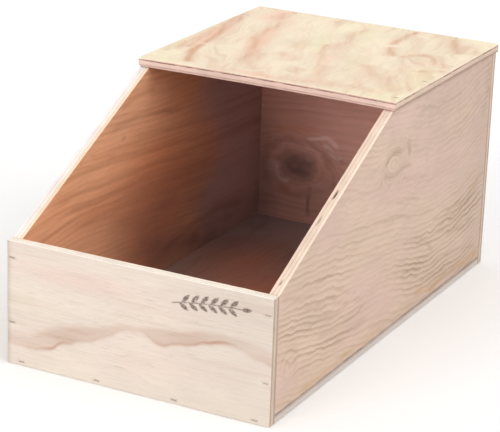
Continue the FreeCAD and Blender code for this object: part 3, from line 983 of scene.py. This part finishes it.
def ply_edge(name, along_grain, across_grain, glue, thickness, face_ply, glue_tone, grey_clouds=0.0,
             line=0.26, inner_line=1.0):
    """A sawn edge with three plies, broken glue lines and voids dark with painted shade.

    along_grain and across_grain are each the colours of the outer, the core and the inner ply, on an
    edge along the face grain and on a cut across it.
    """
    n = Nodes(name)
    grain = n.attribute("grain", "Vector")
    depth = n.add("ShaderNodeSeparateXYZ", {0: grain}).outputs[2]
    depth = n.times(depth, 1 / MM)
    wave = n.noise(grain, (25, 25, 0), 1.0)
    depth = n.math("ADD", depth, n.line(wave, 0.5, -0.25))
    from_middle = n.math("ABSOLUTE", n.math("SUBTRACT", depth, thickness / 2))
    half_core = thickness / 2 - face_ply
    in_core = n.span(from_middle, half_core + 0.06, half_core - 0.06)
    at_glue = n.math("ABSOLUTE", n.math("SUBTRACT", from_middle, half_core))
    at_glue = n.span(at_glue, line, 0.15 * line)
    along = n.noise(grain, (60, 1400, 1400), 3.0, 0.6)
    across = n.noise(grain, (1400, 60, 1400), 3.0, 0.6)
    streak = n.mix(in_core, along, across)
    pits = n.noise(grain, (2200, 2200, 2600))
    clouds = n.noise(grain, (40, 40, 90), 3.0)
    end = n.attribute("end")
    outer, heart, inner = (n.mix(end, a, b) for a, b in zip(along_grain, across_grain))
    inner_half = n.math("GREATER_THAN", depth, thickness / 2)
    colour = n.mix(inner_half, outer, inner)
    colour = n.mix(in_core, colour, heart)
    broken = n.noise(grain, (90, 90, 10))
    glued = n.times(
        at_glue,
        n.span(broken, 0.32, 0.62, 0.35 * glue_tone, glue_tone),
        n.span(inner_half, 0.0, 1.0, 1.0, inner_line),
    )
    colour = n.mix(glued, colour, glue)
    colour = n.shaded(
        colour,
        n.span(streak, 0.2, 0.8, 0.88, 1.06),
        n.span(pits, 0.25, 0.7, 0.91, 1.03),
        n.span(clouds, 0.25, 0.75, 0.90, 1.04),
    )
    # Greyer in clouds, by the given share.
    colour = n.mix(n.span(clouds, 0.2, 0.8, 0.5 * grey_clouds, grey_clouds), colour, CLOUD_GREY)
    # Painted shade in the core voids: they go dark brown.
    colour = n.mix(n.attribute("stain_and_shade"), colour, VOID_SHADE_BROWN)
    height = n.line(streak, 0.7, n.times(pits, 0.5))
    height = n.line(at_glue, -0.9, height)
    return n.finish(colour, n.line(pits, 0.2, 0.68), height, 0.0002)


def staple_wire(name):
    """Dull zinc on steel wire, scuffed by the gun and browned in places."""
    n = Nodes(name)
    place = n.add("ShaderNodeTexCoord").outputs["Object"]
    scuffs = n.noise(place, (900, 900, 2500), 4.0, 0.65)
    blotch = n.noise(place, (320, 320, 320), 3.0)
    colour = n.mix(n.span(scuffs, 0.3, 0.7), (140, 130, 122), (182, 172, 164))
    colour = n.mix(n.span(blotch, 0.5, 0.68, 0.0, 0.6), colour, (120, 88, 68))
    rough = n.span(blotch, 0.3, 0.7, 0.34, 0.62)
    return n.finish(colour, rough, scuffs, 0.00004, Metallic=0.6)


FRONT_FACE = veneer(
    "veneer_front", (212, 198, 185), (203, 183, 168), (174, 134, 111), (212, 186, 175), (214, 203, 178),
    ring_tone=0.35, patchy=0.7, fibre=0.6, mottle=0.4, ink=(76, 54, 45),
)
ROOF_FACE = veneer(
    "veneer_roof", (248, 231, 205), (242, 212, 182), (220, 172, 138), (250, 208, 184), (248, 236, 200),
    ring_tone=0.45, patchy=0.6, fibre=0.6, mottle=0.5,
)
SIDE_FACE = veneer(
    "veneer_side", (209, 183, 162), (160, 132, 108), (144, 114, 88), (208, 176, 164), (208, 168, 124),
    ring_tone=1.0, patchy=0.45, fibre=0.7, mottle=0.6,
)
# Its grey pink is also the cool colour of painted shade towards the back of the inner left wall.
INNER_FACE = veneer(
    "veneer_inner_side", (247, 184, 141), (204, 140, 100), (160, 102, 70), (198, 183, 194), (232, 148, 100),
    ring_tone=0.45, patchy=0.5, fibre=0.7, mottle=0.6, shade_and_dirt_colour=BROWN_DIRT_AND_SHADE,
)
KNOTTY_FACE = veneer(
    "veneer_inner_back", (230, 176, 160), (204, 148, 134), (132, 90, 84), (252, 214, 206), (222, 150, 116),
    ring_tone=0.6, patchy=0.4, fibre=0.7, mottle=0.6,
)
# Darker and greyer than the other faces, partly as painted shade; the roof's underside uses it too.
FLOOR_FACE = veneer(
    "veneer_floor", (172, 142, 132), (150, 118, 108), (118, 92, 84), (184, 176, 182), (206, 128, 96),
    ring_tone=0.6, patchy=0.5, fibre=0.7, mottle=0.7, shade_and_dirt_colour=RED_DIRT_AND_SHADE,
)
OUTER_FACE = veneer(
    "veneer_outer", (230, 206, 186), (206, 170, 144), (180, 134, 104), (236, 206, 192), (238, 224, 192),
    ring_tone=0.55, patchy=0.6, fibre=0.6, mottle=0.6,
)
UNDER_FACE = veneer(
    "veneer_under", (206, 180, 158), (178, 146, 122), (148, 112, 88), (200, 170, 152), (206, 182, 142),
    ring_tone=0.6, patchy=0.6, fibre=0.8, mottle=0.8,
)

CROSS_CUT = (182, 158, 140), (208, 186, 168), (176, 154, 138)
WALL_EDGE = ply_edge(
    "edge_wall", ((252, 228, 208), (236, 210, 190), (244, 216, 196)), CROSS_CUT, (140, 102, 82),
    WALL_THICK, WALL_FACE_PLY, glue_tone=0.65,
)
# Its long edges are nearly white: a painted highlight on the front board's top edge.
FRONT_EDGE = ply_edge(
    "edge_front", ((255, 246, 234), (255, 242, 226), (254, 238, 220)), CROSS_CUT, (226, 202, 182),
    WALL_THICK, WALL_FACE_PLY, glue_tone=0.5,
)
LEFT_EDGE = ply_edge(
    "edge_left", ((252, 244, 242), (250, 236, 226), (255, 230, 202)), CROSS_CUT, (216, 196, 182),
    WALL_THICK, WALL_FACE_PLY, glue_tone=0.5,
)
ROOF_EDGE = ply_edge(
    "edge_roof", ((236, 214, 192), (212, 188, 168), (178, 150, 132)),
    ((224, 194, 176), (222, 192, 178), (208, 176, 162)), (134, 98, 88),
    ROOF_THICK, THIN_FACE_PLY, glue_tone=1.0, line=0.95, inner_line=0.4,
)
FLOOR_EDGE = ply_edge(
    "edge_floor", ((222, 213, 206), (214, 203, 195), (194, 180, 170)),
    ((200, 186, 176), (194, 180, 170), (180, 162, 150)), (140, 120, 112),
    FLOOR_THICK, THIN_FACE_PLY, glue_tone=0.4, grey_clouds=0.3,
)
WIRE = staple_wire("staple_zinc")


# ---- boards


def on_slope(share):
    """The point of the sloped edge that lies this share of the way up it."""
    low_y, high_z = SIDE_LOW[Y], SIDE_HIGH[Z]
    return (low_y + share * (SLOPE_TOP_Y - low_y), SLOPE_LOW_Z + share * (high_z - SLOPE_LOW_Z))


front = Board("front_board", WALL, X, Z, -1, WALL_FACE_PLY, (2.0, 1.0))
front.ink = sprig_ink
build_board(front, front_figure, plain_figure(210, 7.0, 14), (FRONT_FACE, INNER_FACE, FRONT_EDGE), 310)

back = Board("back_board", WALL, X, Z, 1, WALL_FACE_PLY, (2.6, 1.3))
build_board(back, plain_figure(220, 9.0, 24), back_inner_figure, (OUTER_FACE, KNOTTY_FACE, WALL_EDGE), 320)

left = SideBoard("left_side", WALL, Y, Z, -1, WALL_FACE_PLY, (3.2, 1.4))
build_board(left, plain_figure(230, 8.0, 30), left_inner_figure, (OUTER_FACE, INNER_FACE, LEFT_EDGE), 330)

right = SideBoard("right_side", WALL, Y, Z, 1, WALL_FACE_PLY, (2.6, 1.2))
right.voids = [(*on_slope(0.06), 2.2, 1.6), (*on_slope(0.52), 4.5, 2.4), (*on_slope(0.38), 6.0, 0.8)]
build_board(right, right_figure, plain_figure(240, 8.0, 26), (SIDE_FACE, INNER_FACE, WALL_EDGE), 340)

roof = Board("roof_board", ROOF, Y, X, 1, THIN_FACE_PLY, (2.2, 1.2))
roof.worn = [(ROOF_LOW[Y], ROOF_LOW[X], 2.4)]
roof.cup = 1.1
roof.pocket = 0.38
build_board(roof, roof_figure, plain_figure(250, 9.0, 24), (ROOF_FACE, FLOOR_FACE, ROOF_EDGE), 350)

floor = Board("floor_board", FLOOR, Y, X, -1, THIN_FACE_PLY, (3.4, 1.6))
build_board(floor, plain_figure(260, 9.0, 26), floor_figure, (UNDER_FACE, FLOOR_FACE, FLOOR_EDGE), 360)


# ---- staples

WIRE_THICK = 1.0
BEND_STEPS, LEG_STEPS = 5, 6
BEND_RADIUS = 0.9
POINT_LENGTH, POINT_PINCH = 1.6, 0.35
LEG_SHORT = 1.0  # how far a leg ends before the tip of its CAD solid, besides the half wire
TILT_MOST = 0.07


def staple_path(half_crown, leg):
    """Centre line of a staple in its own plane: up one leg, over the crown and down the other."""
    points = [(-half_crown, -leg), (-half_crown, -leg + POINT_LENGTH)]
    points += [(-half_crown, -leg * (1 - k / LEG_STEPS)) for k in range(1, LEG_STEPS)]
    for k in range(BEND_STEPS + 1):
        turn = math.pi / 2 * k / BEND_STEPS
        reach = half_crown - BEND_RADIUS + BEND_RADIUS * math.cos(turn)
        points.append((-reach, -BEND_RADIUS + BEND_RADIUS * math.sin(turn)))
    return points + [(-x, y) for x, y in reversed(points)]


def wire_ring(width, thick):
    """Section of the flattened wire, as eight points (across, in the staple's plane)."""
    chamfer = 0.28 * min(width, thick)
    w, t = width / 2, thick / 2
    return [
        (w, t - chamfer), (w - chamfer, t), (-w + chamfer, t), (-w, t - chamfer),
        (-w, -t + chamfer), (-w + chamfer, -t), (w - chamfer, -t), (w, -t + chamfer),
    ]


def staple_mesh(low, high, centre, rng):
    """Vertices and faces of one staple in the place of its CAD solid, a little sunk and tilted."""
    size = high - low
    leg_axis, crown_axis, wire_axis = np.argsort(-size)
    outward = 1.0 if (low + high)[leg_axis] / 2 > centre[leg_axis] else -1.0
    half_crown = size[crown_axis] / 2 - WIRE_THICK / 2
    leg = size[leg_axis] - WIRE_THICK / 2 - LEG_SHORT
    path = np.array(staple_path(half_crown, leg))
    heading = np.gradient(path, axis=0)
    heading /= np.hypot(heading[:, 0], heading[:, 1])[:, None]
    ring = wire_ring(size[wire_axis], WIRE_THICK)
    tilt = rng.uniform(-TILT_MOST, TILT_MOST)
    base = (low + high) / 2
    base[leg_axis] = (high if outward > 0 else low)[leg_axis] - outward * (WIRE_THICK / 2 + CROWN_SINK)
    points = []
    for k, ((along, out), (h_along, h_out)) in enumerate(zip(path, heading)):
        pinch = POINT_PINCH if k in (0, len(path) - 1) else 1.0
        for across, lift in ring:
            place = np.zeros(3)
            side = across * pinch
            run = along - h_out * lift * pinch
            place[crown_axis] = run * math.cos(tilt) - side * math.sin(tilt)
            place[wire_axis] = run * math.sin(tilt) + side * math.cos(tilt)
            place[leg_axis] = outward * (out + h_along * lift * pinch)
            points.append(base + place)
    count, faces = len(ring), []
    last = (len(path) - 1) * count
    for start in range(0, last, count):
        for j in range(count):
            after = (j + 1) % count
            faces.append((start + j, start + after, start + count + after, start + count + j))
    faces.append(tuple(range(count))[::-1])
    faces.append(tuple(last + j for j in range(count)))
    return points, faces


def build_staples(node, seed):
    """All staples of one CAD node as one piece of separate closed wires."""
    rng = np.random.RandomState(seed)
    centre = (np.array(cad_low) + np.array(cad_high)) / 2 / MM
    points, faces = [], []
    for low, high in STAPLES[node]:
        some, drawn = staple_mesh(low, high, centre, rng)
        faces += [tuple(i + len(points) for i in face) for face in drawn]
        points += some
    mesh = bpy.data.meshes.new(node + "_finished")
    mesh.from_pydata((np.array(points) * MM).tolist(), [], faces)
    mesh.materials.append(WIRE)
    place_piece(mesh, node + "_wire", node)


for number, name in enumerate(STAPLES):
    build_staples(name, 400 + number)


# ---- stage, light and camera

STAGE_REACH = 6.0
STAGE_DROP = 0.0004  # keeps the floor clear of the box's underside


def stage_floor():
    """A pale, faintly mottled studio floor."""
    n = Nodes("studio_floor")
    place = n.add("ShaderNodeTexCoord").outputs["Object"]
    grain = n.noise(place, (3, 3, 3), 3.0)
    colour = n.mix(grain, (250, 250, 250), (254, 254, 254))
    material = n.finish(colour, 0.9, grain, 0.0002)
    r = STAGE_REACH
    mesh = bpy.data.meshes.new("studio_floor")
    mesh.from_pydata([(-r, -r, 0), (r, -r, 0), (r, r, 0), (-r, r, 0)], [], [(0, 1, 2, 3)])
    mesh.materials.append(material)
    made = bpy.data.objects.new("studio_floor", mesh)
    bpy.context.scene.collection.objects.link(made)
    made.location.z = -STAGE_DROP


def soft_world(strength):
    """Even white light from all round; the backdrop itself is plain white."""
    world = bpy.data.worlds.new("studio")
    world.use_nodes = True
    tree = world.node_tree
    background = tree.nodes["Background"]
    background.inputs["Color"].default_value = (1.0, 1.0, 1.0, 1.0)
    path = tree.nodes.new("ShaderNodeLightPath")
    shown = tree.nodes.new("ShaderNodeMapRange")
    shown.inputs["To Min"].default_value = strength
    shown.inputs["To Max"].default_value = 1.0
    tree.links.new(path.outputs["Is Camera Ray"], shown.inputs["Value"])
    tree.links.new(shown.outputs[0], background.inputs["Strength"])
    bpy.context.scene.world = world


def soft_sun(name, towards, share, spread_degrees, colour=(1.0, 1.0, 1.0)):
    """A soft light from far away that gives a facing white surface this share of full white."""
    data = bpy.data.lights.new(name, "SUN")
    data.energy, data.angle, data.color = share * math.pi, math.radians(spread_degrees), colour
    made = bpy.data.objects.new(name, data)
    made.rotation_euler = Vector(towards).to_track_quat("Z", "Y").to_euler()
    made.location = Vector(towards) * 2.0
    bpy.context.scene.collection.objects.link(made)


CAMERA_AZIMUTH, CAMERA_ELEVATION = 26.711, 18.709
CAMERA_DISTANCE = 1.95093
LOOK_AZIMUTH, LOOK_ELEVATION, LOOK_ROLL = 27.105, 19.299, 2.062
CAMERA_LENS = 154.468


def turned(azimuth, elevation):
    """Unit vector towards the camera's side at an azimuth and an elevation in degrees."""
    a, e = math.radians(azimuth), math.radians(elevation)
    return Vector((math.sin(a) * math.cos(e), -math.cos(a) * math.cos(e), math.sin(e)))


def studio_camera():
    """A long lens, a little rolled, that looks at the box from above its front right corner."""
    data = bpy.data.cameras.new("camera")
    data.lens, data.sensor_width = CAMERA_LENS, 36.0
    data.clip_end = 50.0
    made = bpy.data.objects.new("camera", data)
    middle = (cad_low + cad_high) / 2
    made.location = middle + CAMERA_DISTANCE * turned(CAMERA_AZIMUTH, CAMERA_ELEVATION)
    level = (-turned(LOOK_AZIMUTH, LOOK_ELEVATION)).to_track_quat("-Z", "Y")
    roll = Quaternion((0, 0, 1), math.radians(LOOK_ROLL))
    made.rotation_euler = (level @ roll).to_euler()
    bpy.context.scene.collection.objects.link(made)
    bpy.context.scene.camera = made


stage_floor()
soft_world(0.77)
soft_sun("key", (0.76, -0.20, 0.62), 0.36, 60, (1.0, 0.99, 0.975))
soft_sun("front_fill", (-0.30, -0.93, 0.22), 0.37, 35)
soft_sun("low_fill", (0.0, -0.99, 0.10), 0.12, 50)
studio_camera()
bpy.context.scene.view_settings.view_transform = "Standard"
bpy.context.scene.view_settings.look = "None"
